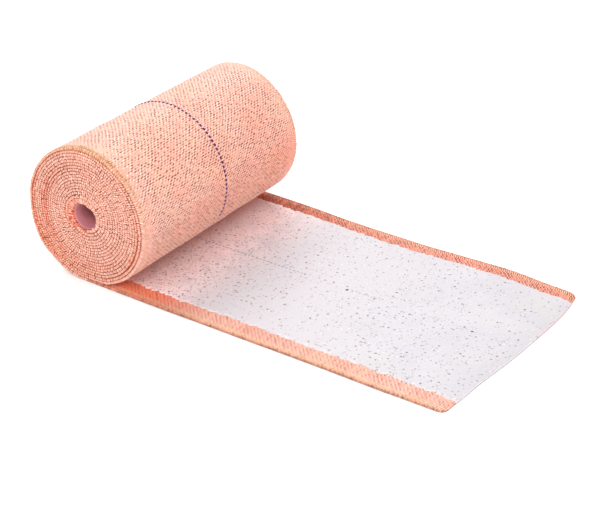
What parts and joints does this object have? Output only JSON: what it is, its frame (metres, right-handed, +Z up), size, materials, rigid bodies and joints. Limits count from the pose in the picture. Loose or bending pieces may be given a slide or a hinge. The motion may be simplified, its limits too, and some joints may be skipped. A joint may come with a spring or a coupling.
{
  "type": "elastic adhesive bandage roll",
  "caption": "Roll of flesh-coloured elastic adhesive bandage on a small core, its loose end laid flat with the adhesive side up.",
  "frame": {"origin": "middle of the underside, at the height of the surface that the roll and its loose end lie on", "axes": "+X along the loose end, away from the roll, +Y along the core towards the far end of the roll, +Z up"},
  "size_m": [0.1842, 0.0998, 0.0554],
  "materials": {
    "cloth": "woven crepe, matte",
    "adhesive": "spread adhesive, faint sheen",
    "core": "smooth"
  },
  "bodies": {
    "root": {"bandage_roll": "cloth", "loose_end": "cloth", "adhesive_coat": "adhesive", "core_tube": "core"}
  },
  "joints": []
}
